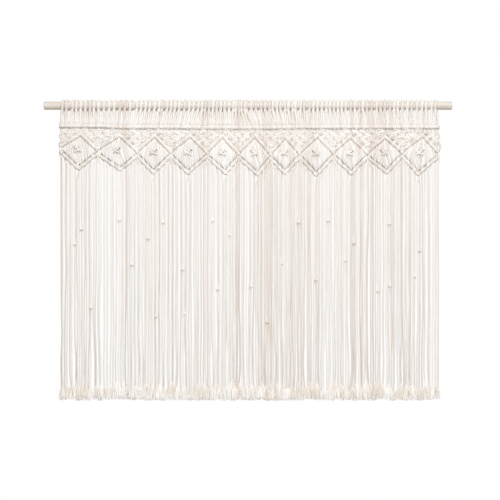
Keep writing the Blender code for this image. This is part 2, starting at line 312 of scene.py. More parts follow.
def leg_of_fold(n):
    """Half of a cord folded over the dowel, from the fold on top down to the bar.

    Even strands come down in front of the dowel, and odd ones behind it.
    """
    cord = n // 2
    in_front = n % 2 == 0
    facing = -1 if in_front else 1
    middle = (strand_place(2 * cord) + strand_place(2 * cord + 1)) / 2
    own = random.Random(cord)
    lean = lean_at((middle - LEFT_EDGE) / WIDTH)
    top = middle + lean + own.uniform(-OWN_LEAN, OWN_LEAN)
    radius = PRESSED_RADIUS * own.uniform(*OWN_THICKNESS)
    aside = LEG_HALF_SPACING * facing
    route = []
    for angle, share in GRIP:
        turn = math.radians(angle)
        y = facing * FOLD_RADIUS * math.cos(turn)
        z = FOLD_RADIUS * math.sin(turn)
        route.append(Point(top + aside * share, y, z, radius, tuck=FOLD_PAINTED_SHADE))
    start = (top + aside, y, z)
    if not in_front:
        route.append(Point(start[0], *UNDER_DOWEL[0], UNDER_RADIUS, 3))
        start = (start[0], *UNDER_DOWEL[1])
    foot = (strand_place(n), facing * FOOT_ASIDE, FOOT_RISE - bar_depth(middle))
    for share, radius in FRONT_LEG if in_front else BACK_LEG:
        x, y, z = [a + (b - a) * share for a, b in zip(start, foot)]
        route.append(Point(x + jitter(0.35), y, z, radius, 3))
    return route


def hitch(place, along, room, tuck=0.0):
    """Two wraps round a leading cord that runs along, from above it to below it.

    The room is how much of the leading cord the two wraps cover.
    """
    x, y, z = place
    ux, uz = along
    vx, vz = -uz, ux
    if vz < 0:
        vx, vz = -vx, -vz
    wrap = room / 2
    radius = clamp(wrap / 2 + WRAP_OVERLAP, THINNEST_WRAP, THICKEST_WRAP)
    route = []
    for angle in WRAP_ANGLES:
        turn = math.radians(angle)
        s = wrap * (angle - MIDDLE_ANGLE) / 360
        up = HITCH_RADIUS * math.cos(turn)
        back = HITCH_RADIUS * math.sin(turn)
        at = (x + ux * s + vx * up, y + back, z + uz * s + vz * up)
        # The wraps carry the painted shade that is given.
        route.append(Point(*at, radius, tuck=tuck, pull=1.0))
    return route


# A square knot. Each row is a point (right, towards the wall, up) from its middle, and how
# much painted shade it gets in a crease of the knot.
OVER_STRAND = (
    (-9.6, 0.5, 7.6, 0), (-7.6, -0.8, 6.0, 1), (-4.2, -3.0, 4.7, 0), (0, -3.7, 2.9, 0),
    (4.2, -3.4, 1.4, 0), (7.8, -1.4, 0.7, 0), (8.6, 0.5, 0, 0), (7.8, -1.4, -0.7, 0),
    (4.2, -3.4, -1.4, 0), (0, -3.7, -2.9, 0), (-4.2, -3.0, -4.7, 0), (-7.6, -0.8, -6.0, 0),
    (-9.6, 0.5, -7.6, 0),
)
UNDER_STRAND = (
    (9.6, 0.5, 7.6, 0), (7.8, -0.8, 5.8, 0), (8.4, -2.6, 3.0, 0), (6.2, 2.7, 0.9, 0),
    (0, 4.4, 1.7, 0), (-6.2, 2.7, 0.6, 0), (-8.4, -2.0, 0, 0), (-6.2, 2.7, -0.9, 0),
    (0, 4.4, -1.7, 0), (6.2, 2.7, -1.3, 0), (8.4, -2.6, -3.0, 0), (7.8, -0.8, -5.8, 0.5),
    (9.6, 0.5, -7.6, 0),
)
INNER_STRAND = (
    (3.2, 0.3, 8.6, 0), (2.9, 0.4, 5.6, 1), (2.4, 0.5, 2.8, 1), (2.4, 0.5, -2.8, 1),
    (2.9, 0.4, -5.6, 1), (3.2, 0.3, -8.6, 0),
)


def square_knot(place, part, slot, hand, flat=NET_FLATNESS, crease_shade=0.0):
    """One strand's way through a knot: part 0 goes over, 1 and 2 straight, 3 under.

    The slot is the width of the four strands' share of the work, which the knot fills.
    The hand is 1, or -1 for a knot tied from the other side. Flat is its share of a loose
    knot's depth, and the crease is how dark the painted shade in its creases is. A
    flattened knot has none, and its strands get a random amount of painted shade instead. A
    round knot gets a set amount all over as well.
    """
    x, y, z = place
    if hand < 0:
        part = KNOT_STRANDS - 1 - part
    if part == 0:
        shape = OVER_STRAND
    elif part == KNOT_STRANDS - 1:
        shape = UNDER_STRAND
    else:
        # Of the two straight strands, one gets painted crease shade above the middle and
        # one below it.
        side = -1 if part == 1 else 1
        shape = [
            (side * dx, dy, dz, tuck * (side * dz > 0)) for dx, dy, dz, tuck in INNER_STRAND
        ]
    widen = hand * slot / KNOT_WIDTH
    route = []
    for dx, dy, dz, tuck in shape:
        at = (x + dx * widen, y + dy * flat, z + dz)
        # Painted shade: a random amount on the net's knots, a set amount on the round one,
        # and more in the creases.
        own = shake.uniform(0, NET_PAINTED_SHADE) if flat < 1 else CENTRE_KNOT_PAINTED_SHADE
        own = max(crease_shade * tuck, own)
        route.append(Point(*at, KNOT_RADIUS, tuck=own, pull=KNOT_PULL))
    return route


def point_between(start, end, share):
    """The point a share of the way from one to the other."""
    return tuple(a + (b - a) * share for a, b in zip(start, end))


def length(start, end):
    """The distance between two (x, depth) points."""
    return math.hypot(end[0] - start[0], end[1] - start[1])


def direction(start, end):
    """Unit (x, z) direction from one (x, depth) point to another."""
    size = length(start, end)
    return (end[0] - start[0]) / size, (start[1] - end[1]) / size


def moved(points, right, down):
    """(x, depth) points moved to the right and down."""
    return [(x + right, depth + down) for x, depth in points]


INNER_EDGES = (LEFT_EDGE + EDGE_INSET, RIGHT_EDGE - EDGE_INSET)
INSET_CORNERS = [(clamp(x, *INNER_EDGES), depth) for x, depth in CORNERS]
UPPER_PEAKS = moved(PEAKS, -UPPER_BAR_SHIFT, -UPPER_BAR_RISE)
UPPER_CORNERS = moved(INSET_CORNERS, -UPPER_BAR_SHIFT, -UPPER_BAR_RISE)
LOWER_CORNERS = moved(INSET_CORNERS, 0, LOWER_BAR_DROP)
LOWER_TIPS = moved(TIPS, 0, TIP_DROP)


def zigzag(corners, turns):
    """The line from corner to corner by the turns between them."""
    line = [corners[0]]
    for turn, corner in zip(turns, corners[1:]):
        line += [turn, corner]
    return np.array(line)


# The bars' middle lines, how dark the painted shade in the creases above and below each bar
# is, and how much that changes from strand to strand. Each straight stretch of the slanted
# bars has painted shade a little darker or lighter than the next.
BAR_CREASE_SHADING = (
    (BAR_LINE, 0.0, 1.1, 0.3),
    (zigzag(UPPER_CORNERS, UPPER_PEAKS), 0.5, 0.25, 1.0),
    (zigzag(LOWER_CORNERS, LOWER_TIPS), 1.1, 0.0, 1.0),
)
UNEVEN = np.random.default_rng(7).uniform(0.6, 1.35, (len(BAR_CREASE_SHADING), 2 * COUNT))
UNEVEN[0] = 1  # the level bar


def painted_bar_creases(points, own_depth):
    """How much painted shade points on the cords get in the creases along the bars.

    The own depth is how dark the painted shade in the creases is on this strand, about 1.
    """
    x, y, depth = points[..., 0], points[..., 1], -points[..., 2]
    deepest = np.zeros(x.shape)
    for (line, above, below, change), uneven in zip(BAR_CREASE_SHADING, UNEVEN):
        steps = np.diff(line, axis=0)
        part = np.clip(np.searchsorted(line[:, 0], x) - 1, 0, len(steps) - 1)
        slant = (steps[:, 0] / np.hypot(steps[:, 0], steps[:, 1]))[part]
        rising = steps[:, 1] < -5
        strength = np.where(rising, CREASE_SHADE_ON_RISING_BAR, 1.0) * uneven[:len(steps)]
        off = (depth - np.interp(x, line[:, 0], line[:, 1])) * slant
        off_above = off + CREASE_AT - CREASE_NEARER_ABOVE
        low = below * np.exp(-(((off - CREASE_AT) / CREASE_WIDTH) ** 2))
        high = above * np.exp(-((off_above / CREASE_WIDTH) ** 2))
        own = 1 + change * (own_depth - 1)
        deepest = np.maximum(deepest, own * strength[part] * np.maximum(low, high))
    # The painted shade in the slanted bars' creases fades in from 2 to 6 mm away from the
    # diamonds' corners, and all of it from 6 to 3.5 mm in front of the dowel's axis, where
    # a cord stands out.
    from_corner = np.abs(x[..., None] - np.array([corner for corner, _ in CORNERS])).min(-1)
    on_slanted_bars = depth > BAR_DEPTH + 15
    clear = np.where(on_slanted_bars, np.clip(from_corner / 4 - 0.5, 0, 1), 1)
    recessed = np.clip((y + 6) / 2.5, 0, 1)
    return np.minimum(deepest * clear * recessed, DARKEST_CREASE_SHADE)


def net_knots(n):
    """Places and parts of the square knots that strand n ties above the upper bar.

    A net is a triangle of knots over each corner, as wide at its top as a diamond. Each
    row has one knot fewer, and starts half a knot further in.
    """
    i, k = divmod(n, STRANDS)
    net = i + (k >= HALF)
    order = (k + HALF) % STRANDS
    corner = CORNERS[net][0]
    knots = []
    for row in range(NET_ROWS):
        first = order - KNOT_STRANDS // 2 * row
        count = NET_ROWS - row
        rank, part = divmod(first, KNOT_STRANDS)
        if first < 0 or rank >= count:
            continue
        across = rank - (count - 1) / 2
        if (net == 0 and across <= 0) or (net == COUNT and across >= 0):
            continue
        peak = PEAKS[net][0] if across > 0 else PEAKS[net - 1][0]
        reach = abs(peak - corner) / 2
        own = random.Random(1000 * net + 10 * row + rank)
        x = corner + across * reach + own.uniform(-1.0, 1.0)
        z = -(FIRST_KNOT_ROW + KNOT_ROW_PITCH * row + own.uniform(-1.4, 1.4))
        place = (x, own.uniform(-0.6, 0.6), z)
        knots.append((place, part, reach, own.choice((-1, 1))))
    return knots


def centre_of_diamond(i):
    """Where the knot in the middle of diamond i is tied."""
    right, away, up = CENTRE_KNOT_OFFSET
    x = (CORNERS[i][0] + CORNERS[i + 1][0]) / 2 + right
    return x, away, -(PEAKS[i][1] + TIPS[i][1]) / 2 + up


def free_place(i, k):
    """x where strand k, which isn't in the centre knot, hangs beside that knot."""
    middle = centre_of_diamond(i)[0]
    side = -1 if k < HALF else 1
    edge = CORNERS[i][0] if k < HALF else CORNERS[i + 1][0]
    near = middle + side * (CENTRE_KNOT_WIDTH / 2 + 2)
    rank = CENTRE_STRANDS[0] - 1 - k if k < HALF else k - CENTRE_STRANDS[-1] - 1
    return near + (edge - near) * rank / FREE_A_SIDE


def strand_in_diamond(i, k):
    """The hitch on the upper bar, the middle of the diamond, and the lower hitch."""
    if k < HALF:
        share = (HITCHES_A_SIDE - 0.5 - k) / HITCHES_A_SIDE
        corner = i
    else:
        share = (k - HALF - 0.5) / HITCHES_A_SIDE
        corner = i + 1
    upper = (UPPER_PEAKS[i], UPPER_CORNERS[corner])
    lower = (LOWER_CORNERS[corner], LOWER_TIPS[i])
    upper_room = length(*upper) / HITCHES_A_SIDE
    lower_room = length(*lower) / HITCHES_A_SIDE
    x, depth = point_between(*upper, share)
    x_low, depth_low = point_between(*lower, 1 - share)
    room = depth_low - depth
    # Random painted shade for this strand's hitches, and for its way inside the diamond.
    dim = shake.uniform(0, HITCH_PAINTED_SHADE)
    inside = shake.uniform(0, INSIDE_PAINTED_SHADE)
    route = hitch((x, 0, -depth), direction(upper[1], upper[0]), upper_room, dim)
    if k in CENTRE_STRANDS:
        part = CENTRE_STRANDS.index(k)
        hand = random.Random(i).choice((-1, 1))
        crease_shade = shake.uniform(*CENTRE_KNOT_CREASE_SHADE)
        tied = square_knot(centre_of_diamond(i), part, CENTRE_KNOT_WIDTH, hand, 1.0, crease_shade)
        first, last = tied[0], tied[-1]
        above = point_between((first.x, first.z), (x, -depth), 0.16)
        below = point_between((last.x, last.z), (x_low, -depth_low), 0.16)
        route.append(Point(above[0], first.y, above[1], LOOSE_RADIUS, tuck=inside))
        route += tied
        route.append(Point(below[0], last.y, below[1], LOOSE_RADIUS, tuck=inside))
    else:
        middle_x = (x + x_low) / 2
        spread = free_place(i, k) - middle_x
        share_spread = clamp((room - SPREAD_FROM) / SPREAD_OVER, 0, MOST_SPREAD)
        middle_x += spread * share_spread + jitter(0.7)
        if k == 0:
            middle_x -= OUTERMOST_SHIFT
        elif k == STRANDS - 1:
            middle_x += OUTERMOST_SHIFT
        y = (OPEN_Y if room > OPEN_ROOM else CLOSED_Y) + jitter(0.6)
        z = -(depth + depth_low) / 2
        route.append(Point(middle_x, y, z, FREE_RADIUS, tuck=inside))
    if room > OPEN_ROOM:
        for back, y, height, dimmed in LOOSE_POINTS:
            at = (x_low + (x - x_low) * back, y, -(depth_low - height))
            route.append(Point(*at, LOOSE_RADIUS, tuck=inside * dimmed))
    low_place = (x_low, 0, -depth_low - shake.uniform(*LOWER_HITCH_DROP))
    return route + hitch(low_place, direction(lower[1], lower[0]), lower_room, dim)


def leading_strand(i, k):
    """A strand that the others are hitched to, from a peak to the tip it ends at.

    It leads one side of an upper bar, crosses another leading strand at the corner, and
    then leads a lower bar of the next diamond. At the work's edges it turns back instead.
    """
    goes_right = k == HALF - 1
    side = 1 if goes_right else -1
    corner = i + 1 if goes_right else i
    front = -2.0 if goes_right else 1.6
    route = []

    def run(start, end, shares):
        for share in shares:
            x, depth = point_between(start, end, share)
            route.append(Point(x, 0, -depth))

    peak = UPPER_PEAKS[i]
    route.append(Point(peak[0], front, -(peak[1] - 0.5)))
    run(peak, UPPER_CORNERS[corner], (0.15, 0.5, 0.9))
    x, depth = CORNERS[corner]
    z = -(depth - CROSSING_RISE)
    if corner in (0, COUNT):
        route.append(Point(x - side * (EDGE_INSET - 1), -1.5, z, 3.0))
        tip = i
        side = -side
    else:
        tip = i + side
        if goes_right:
            route.append(Point(x, 0, z))
        else:
            route.extend(hitch((x, 0, z), CROSSING_SLANT, CROSSING_ROOM))
    run(LOWER_CORNERS[corner], LOWER_TIPS[tip], (0.1, 0.5, 0.9))
    x, depth = LOWER_TIPS[tip]
    if side > 0:
        route.append(Point(x + 0.5, 0, -(depth + 1.5)))
        route.append(Point(x + 2.4, 1.5, -(depth + 6)))
    else:
        route.extend(hitch((x + 0.3, 0, -(depth + 0.8)), CROSSING_SLANT, CROSSING_ROOM))
    return route, tip, side


def strand_route(n):
    """Strand n down to its last hitch, and its order from left to right in the fringe."""
    i, k = divmod(n, STRANDS)
    route = leg_of_fold(n)
    room = DIAMONDS[i].width / STRANDS
    x = strand_place(n)
    route += hitch((x, 0, -bar_depth(x)), (1, 0), room, BAR_PAINTED_SHADE)
    for knot in net_knots(n):
        route += square_knot(*knot)
    if k in (HALF - 1, HALF):
        way, tip, side = leading_strand(i, k)
        order = tip * STRANDS + (HALF if side > 0 else HALF - 1)
        return route + way, order
    return route + strand_in_diamond(i, k), n


class Drift:
    """A smooth wandering field over the fringe, the same for strands that hang together."""

    def __init__(self, seed, across, down):
        self.across = across
        self.down = down
        size = (int(WIDTH / across) + 4, int(FRINGE_END / down) + 4)
        self.grid = np.random.default_rng(seed).uniform(-1, 1, size)

    def at(self, x, depth):
        """The drift there, from -1 to 1."""
        u = (x - LEFT_EDGE) / self.across + 1
        v = depth / self.down
        i, j = int(u), int(v)
        s, t = ease(u - i), ease(v - j)
        a, b = self.grid[i, j], self.grid[i + 1, j]
        c, d = self.grid[i, j + 1], self.grid[i + 1, j + 1]
        return (a * (1 - s) + b * s) * (1 - t) + (c * (1 - s) + d * s) * t


# Neighbours wander together over 18 mm, and each strand a little on its own.
WANDER = Drift(seed=3, across=18, down=150)
OWN_WANDER = Drift(seed=8, across=5, down=95)

# Where neighbouring strands hang apart: x, the depths it starts and ends at, and how wide.
# Strands further off make way too, the less the further.
PARTING_REACH = 12
PARTINGS = (
    (355, 365, 832, 6.5), (248, 225, 620, 5.0), (-431, 450, 815, 5.0), (458, 245, 515, 3.5),
    (494, 510, 730, 3.5), (528, 295, 515, 3.0), (-307, 350, 760, 2.5), (502, 230, 425, 2.5),
    (444, 255, 415, 3.0), (-330, 310, 515, 2.0), (26, 630, 800, 3.0), (-61, 690, 810, 3.0),
    (522, 720, 825, 3.5), (344, 260, 415, 2.0),
)

# Small overhand knots tied here and there in the fringe, as (x, depth), and the shape of
# one: each row is a point (right, towards the wall, up) from its middle, and its painted
# shade.
LOOSE_KNOTS = (
    (-486, 366), (-512, 410), (-376, 339), (-246, 346), (-295, 393), (-342, 470),
    (-455, 597), (-269, 622), (-187, 614), (-92, 543), (-190, 484), (-52, 383),
    (-106, 340), (152, 346), (236, 340), (416, 350), (311, 407), (286, 457),
    (507, 429), (492, 505), (419, 532), (380, 548), (203, 515), (99, 467),
    (13, 534), (56, 639),
)
OVERHAND = (
    (0.6, 0.4, 8, 0), (0, -2.2, 3.4, 0), (-3.0, -2.2, -0.6, 0.1), (-2.6, 2.0, -3.0, 0.3),
    (1.6, 2.8, -2.2, 0.3), (3.8, 0.2, 0.2, 0.1), (2.2, -3.0, 2.2, 0), (-1.8, -3.2, 2.8, 0),
    (-3.9, 0.4, 1.4, 0.1), (-1.6, 3.0, 0, 0.3), (1.2, 0.6, -3.0, 0.3), (0, -0.6, -5.0, 0.1),
    (0, 0, -9, 0),
)
OVERHAND_WIDTH = 0.8
OVERHAND_FORWARD = 1.5
OVERHAND_REACH = 14


def settled_place(order):
    """x where a strand hangs, midway to its neighbours, once it is clear of the bar."""
    i, k = divmod(order, STRANDS)
    uneven = random.Random(order).uniform(-1.4, 1.4)
    if k < HALF:
        return point_between(CORNERS[i], TIPS[i], (k + 0.5) / HALF)[0] + uneven
    return point_between(TIPS[i], CORNERS[i + 1], (k - HALF + 0.5) / HALF)[0] + uneven


def clustered_places(settled):
    """Where each strand would hang if it closed up with a few neighbours."""
    clustered = {}
    order = sorted(settled, key=settled.get)
    own = random.Random(19)
    while order:
        size = own.choice((1, 1, 2, 2, 2, 3))
        cluster, order = order[:size], order[size:]
        middle = sum(settled[n] for n in cluster) / len(cluster)
        for rank, n in enumerate(cluster):
            clustered[n] = middle + (rank - (len(cluster) - 1) / 2) * NEAREST
    return clustered


# How a strand of the fringe hangs: x at its last hitch, once settled, and if it closed up
# with its neighbours, and the depths of that hitch and of its combed-out end's root.
Hanging = namedtuple("Hanging", "root settled clustered top end")


def fringe_x(hanging, depth):
    """x of a strand at a depth below its last hitch."""
    root, settled, clustered, top, _ = hanging
    fall = clamp((depth - top) / (FRINGE_END - top))
    settle = ease(clamp((depth - top - SETTLES_AFTER) / SETTLING))
    # The lower it is, the more it closes up with its neighbours and wanders.
    draw = (0.2 + 0.25 * fall) * min(fall * 6, 1)
    wander = (0.3 + 2.4 * fall) * WANDER.at(root, depth) * min(fall * 8, 1)
    own = (0.3 + 3.0 * fall * fall) * OWN_WANDER.at(root, depth) * min(fall * 8, 1)
    apart = 0.0
    for x, start, stop, opening in PARTINGS:
        if start < depth < stop:
            away = settled - x
            near = math.exp(-abs(away) / PARTING_REACH)
            near *= math.sin(math.pi * (depth - start) / (stop - start))
            apart += math.copysign(opening / 2, away) * near
    settling = (settled - root) * settle + (clustered - settled) * draw
    return root + settling + wander + own + apart


def fringe_route(hanging, in_front, knots):
    """From a strand's last hitch down to where its end is combed out.

    Strands hang in two layers, and those behind get a little more painted shade, for the
    shade of those in front.
    """
    top = hanging.top
    end = hanging.end
    layer = -FRINGE_LAYER if in_front else FRINGE_LAYER
    steps = round((end - top) / FRINGE_STEP)
    dim = shake.uniform(*(FRONT_PAINTED_SHADE if in_front else BACK_PAINTED_SHADE))
    depths = [top + share * SETTLING for share in (0.3, 0.6, 0.9, 1.2)]
    depths += [top + (end - top) * step / steps for step in range(1, steps + 1)]
    route = []
    for depth in depths:
        x = fringe_x(hanging, depth)
        fall = (depth - top) / (end - top)
        # Painted shade, a little deeper further down.
        tuck = dim * (0.6 + 0.4 * fall) * shake.uniform(0.5, 1.5)
        route.append(Point(x, layer + jitter(0.3), -depth, CORD_RADIUS, 3, tuck))
    for knot_depth in knots:
        route = [p for p in route if abs(-p.z - knot_depth) > OVERHAND_REACH]
        after = next(j for j, p in enumerate(route) if -p.z > knot_depth)
        x = fringe_x(hanging, knot_depth)
        tied = []
        for dx, dy, dz, tuck in OVERHAND:
            y = layer - OVERHAND_FORWARD + dy
            tied.append(Point(x + OVERHAND_WIDTH * dx, y, -knot_depth + dz, tuck=tuck))
        route[after:after] = tied
    return route


# ---------------------------------------------------------------------------------------
# Cord meshes.
# ---------------------------------------------------------------------------------------

def smooth_line(route):
    """Points along a smooth curve through a route's points: x, y, z, radius, painted shade,
    pull.
    """
    points = np.array([p[:3] for p in route], float)
    looks = np.array([(p.radius, p.tuck, p.pull) for p in route], float)
    steps = np.linalg.norm(np.diff(points, axis=0), axis=1) + 1e-6
    slopes = np.diff(points, axis=0) / steps[:, None]
    tangents = np.empty_like(points)
    tangents[0] = slopes[0]
    tangents[-1] = slopes[-1]
    before = steps[:-1, None]
    after = steps[1:, None]
    tangents[1:-1] = (slopes[:-1] * after + slopes[1:] * before) / (before + after)
    line = []
    for i, span in enumerate(steps):
        parts = route[i].parts
        for part in range(parts):
            t = part / parts
            a = 2 * t**3 - 3 * t**2 + 1
            b = t**3 - 2 * t**2 + t
            c = -2 * t**3 + 3 * t**2
            d = t**3 - t**2
            point = points[i] * a + tangents[i] * (b * span)
            point += points[i + 1] * c + tangents[i + 1] * (d * span)
            line.append((*point, *(looks[i] * (1 - t) + looks[i + 1] * t)))
    line.append((*points[-1], *looks[-1]))
    return np.array(line)


def carried_normals(line):
    """A normal at each point, carried along the line without turning round it."""
    ahead = np.empty_like(line)
    ahead[1:-1] = line[2:] - line[:-2]
    ahead[0] = line[1] - line[0]
    ahead[-1] = line[-1] - line[-2]
    ahead /= np.linalg.norm(ahead, axis=1)[:, None] + 1e-12
    normals = np.empty_like(line)
    x, y, z = (0.0, -1.0, 0.0) if abs(ahead[0][1]) < 0.9 else (1.0, 0.0, 0.0)
    for i, (a, b, c) in enumerate(ahead.tolist()):
        lean = x * a + y * b + z * c
        x -= lean * a
        y -= lean * b
        z -= lean * c
        size = math.sqrt(x * x + y * y + z * z) or 1.0
        x /= size
        y /= size
        z /= size
        normals[i] = (x, y, z)
    return normals, np.cross(ahead, normals)


def add_object(name, data):
    """Adds an object to the scene."""
    thing = bpy.data.objects.new(name, data)
    bpy.context.scene.collection.objects.link(thing)
    return thing


class CordWork:
    """Collects cords as tubes and makes them into one mesh.

    Its cord_twist map has the place round the cord across, and turns of the twist along.
    """

    def __init__(self):
        self.points = []
        self.quads = []
        self.uvs = []
        self.tones = []
        self.painted_shades = []
        self.pulls = []
        self.total = 0

    def add(self, cord, sides, tone, along=0.0, depth=1.0):
        """Adds a cord: rows of x, y, z, radius, painted shade and pull.

        Along is the length before it, and depth how dark the painted shade in its creases
        is.
        """
        line, radii, painted_shades, pulls = cord[:, :3], cord[:, 3], cord[:, 4], cord[:, 5]
        count = len(line)
        normals, sideways = carried_normals(line)
        turn = 2 * math.pi * np.arange(sides) / sides
        ring = normals[:, None] * np.cos(turn)[None, :, None]
        ring = ring + sideways[:, None] * np.sin(turn)[None, :, None]
        points = line[:, None] + ring * radii[:, None, None]
        self.points.append(points.reshape(-1, 3))
        a = np.arange(count - 1)[:, None] * sides + np.arange(sides)[None]
        b = np.arange(count - 1)[:, None] * sides + (np.arange(sides)[None] + 1) % sides
        quads = np.stack((a, b, b + sides, a + sides), axis=-1).reshape(-1, 4)
        self.quads.append(quads + self.total)
        lengths = np.linalg.norm(np.diff(line, axis=0), axis=1)
        run = (along + np.concatenate(([0.0], np.cumsum(lengths)))) / LAY_LENGTH
        u0 = np.broadcast_to(np.arange(sides)[None] / sides, (count - 1, sides))
        u1 = u0 + 1 / sides
        v0 = np.broadcast_to(run[:-1, None], (count - 1, sides))
        v1 = np.broadcast_to(run[1:, None], (count - 1, sides))
        corners = ((u0, v0), (u1, v0), (u1, v1), (u0, v1))
        self.uvs.append(np.stack([np.stack(c, -1) for c in corners], axis=2).reshape(-1, 2))
        self.tones.append(np.full(count * sides, tone))
        # Painted shade in the creases along the bars, kept where it is darker than the
        # route's own.
        painted_creases = painted_bar_creases(points, depth)
        self.painted_shades.append(np.maximum(painted_shades[:, None], painted_creases).reshape(-1))
        self.pulls.append(np.repeat(pulls, sides))
        self.total += count * sides

    def finish(self, name, material):
        """Makes the collected cords into one object."""
        mesh = bpy.data.meshes.new(name)
        points = np.concatenate(self.points) * MM
        mesh.from_pydata(points.tolist(), [], np.concatenate(self.quads).tolist())
        layer = mesh.uv_layers.new(name="cord_twist")
        layer.data.foreach_set("uv", np.concatenate(self.uvs).astype(np.float32).ravel())
        looks = (("tone", self.tones), ("tuck", self.painted_shades), ("pull", self.pulls))
        for label, values in looks:
            layer = mesh.attributes.new(label, "FLOAT", "POINT")
            layer.data.foreach_set("value", np.concatenate(values).astype(np.float32))
        mesh.shade_smooth()
        mesh.materials.append(material)
        return add_object(name, mesh)


def comb_out(work, end, fray, tone):
    """The frayed end of a strand: locks of loose fibre that spread and curl a little."""
    x, y, z = end
    for lock in range(LOCKS_AN_END):
        angle = 2 * math.pi * lock * GOLDEN_TURN
        reach = math.sqrt((lock + 0.5) / LOCKS_AN_END)
        drop = fray * shake.uniform(0.88, 1.04)
        out_x = LOCK_SPREAD[0] * reach * math.cos(angle) + jitter(2.0)
        out_y = LOCK_SPREAD[1] * reach * math.sin(angle) + jitter(0.8)
        root_x = x + LOCK_ROOT_SPREAD * reach * math.cos(angle)
        root_y = y + LOCK_ROOT_SPREAD * reach * math.sin(angle)
        line = []
        for share in LOCK_SHARES:
            open_up = share ** 0.7
            line.append((
                root_x + out_x * open_up + jitter(0.5) * share,
                root_y + (out_y - LOCK_FORWARD) * open_up,
                z + LOCK_OVERLAP - (drop + LOCK_OVERLAP) * share,
                LOCK_TIP_RADIUS if share == 1 else LOCK_RADIUS,
                # painted shade, from 1 at the root to 0 at the tip
                1 - share,
                0,
            ))
        work.add(np.array(line), LOCK_SIDES, tone)


# ---------------------------------------------------------------------------------------
# Materials.
# ---------------------------------------------------------------------------------------

def linear(hex_colour):
    """A hex colour, such as EFE8DC, as linear red, green, blue and alpha."""
    values = [int(hex_colour[i:i + 2], 16) / 255 for i in (0, 2, 4)]
    rgb = [v / 12.92 if v <= 0.04045 else ((v + 0.055) / 1.055) ** 2.4 for v in values]
    return rgb + [1.0]


def node(tree, kind, links=None, **settings):
    """Adds a node. Settings name its attributes or, by number or name, its sockets."""
    new = tree.nodes.new(kind)
    for key, value in settings.items():
        if key == "inputs":
            for socket, number in value.items():
                new.inputs[socket].default_value = number
        else:
            setattr(new, key, value)
    for socket, source in (links or {}).items():
        tree.links.new(source, new.inputs[socket])
    return new


def new_material(name):
    material = bpy.data.materials.new(name)
    material.use_nodes = True
    material.node_tree.nodes.clear()
    return material, material.node_tree


def colour_steps(ramp, steps):
    """Sets a ramp's stops from (place, hex colour) pairs."""
    elements = ramp.color_ramp.elements
    while len(elements) > 1:
        elements.remove(elements[-1])
    elements[0].position = steps[0][0]
    elements[0].color = linear(steps[0][1])
    for place, colour in steps[1:]:
        elements.new(place).color = linear(colour)


def cotton_cord_material():
    """Undyed combed cotton, spun and twisted in three plies.

    That gives the eye a matt, creamy cord with slanting grooves and a faint halo of fibre.
    """
    material, tree = new_material("undyed_cotton_cord")
    coords = node(tree, "ShaderNodeTexCoord")

    # Each strand has its own tone, broken by blotches of undyed cotton about 17 mm across:
    # 60 to a metre.
    tone = node(tree, "ShaderNodeAttribute", attribute_name="tone")
    blotch = node(
        tree, "ShaderNodeTexNoise", {"Vector": coords.outputs["Object"]},
        inputs={"Scale": 60.0, "Detail": 3.0},
    )
    mixed = node(
        tree, "ShaderNodeMath",
        {0: tone.outputs["Fac"], 1: blotch.outputs["Fac"], 2: tone.outputs["Fac"]},
        operation="MULTIPLY_ADD",
    )
    shade = node(tree, "ShaderNodeValToRGB", {"Fac": mixed.outputs[0]})
    colour_steps(shade, ((0.0, "EBE1D8"), (0.5, "F3ECE5"), (1.0, "FAF6F1")))

    # Cord that lies in a crease, or behind other cord, is shaded by its neighbours. The
    # gaps between real cords are a fraction of a millimetre, too fine to show, so that
    # shade is painted into the cord's colour, mixing it towards dark brown 6E6459.
    tuck = node(tree, "ShaderNodeAttribute", attribute_name="tuck")
    depth = node(
        tree, "ShaderNodeMath", {0: tuck.outputs["Fac"]},
        operation="MULTIPLY", inputs={1: 0.75},
    )
    creased = node(
        tree, "ShaderNodeMix",
        {"Factor": depth.outputs[0], 6: shade.outputs["Color"]},
        data_type="RGBA", inputs={7: linear("6E6459")},
    )

    # The grooves between the plies, at their real lay: three to a turn of the twist.
    twist = node(tree, "ShaderNodeUVMap", uv_map="cord_twist")
    parted = node(tree, "ShaderNodeSeparateXYZ", {"Vector": twist.outputs["UV"]})
    phase = node(
        tree, "ShaderNodeMath", {0: parted.outputs["X"], 1: parted.outputs["Y"]},
        operation="ADD",
    )
    turns = node(
        tree, "ShaderNodeMath", {0: phase.outputs[0]},
        operation="MULTIPLY", inputs={1: 2 * math.pi * PLIES},
    )
    plies = node(tree, "ShaderNodeMath", {0: turns.outputs[0]}, operation="SINE")
    pull = node(tree, "ShaderNodeAttribute", attribute_name="pull")
    groove = node(
        tree, "ShaderNodeMath", {0: pull.outputs["Fac"]},
        operation="MULTIPLY_ADD", inputs={1: 0.5, 2: 0.6},
    )
    grooved = node(
        tree, "ShaderNodeMath", {0: plies.outputs[0], 1: groove.outputs[0]},
        operation="MULTIPLY",
    )

    # Real fibres are about 0.02 mm thick, too fine to show, so tufts of 1.1 mm stand for
    # them: 900 to a metre.
    fibres = node(
        tree, "ShaderNodeTexNoise", {"Vector": coords.outputs["Object"]},
        inputs={"Scale": 900.0, "Detail": 2.0},
    )
    height = node(
        tree, "ShaderNodeMath", {0: fibres.outputs["Fac"], 2: grooved.outputs[0]},
        operation="MULTIPLY_ADD", inputs={1: 0.6},
    )
    bump = node(
        tree, "ShaderNodeBump", {"Height": height.outputs[0]},
        inputs={"Strength": 0.55, "Distance": 0.0005},
    )
    shader = node(
        tree, "ShaderNodeBsdfPrincipled",
        {"Base Color": creased.outputs[2], "Normal": bump.outputs["Normal"]},
        inputs={"Roughness": 0.92, "Sheen Weight": 0.2, "Sheen Roughness": 0.6},
    )
    node(tree, "ShaderNodeOutputMaterial", {"Surface": shader.outputs["BSDF"]})
    return material


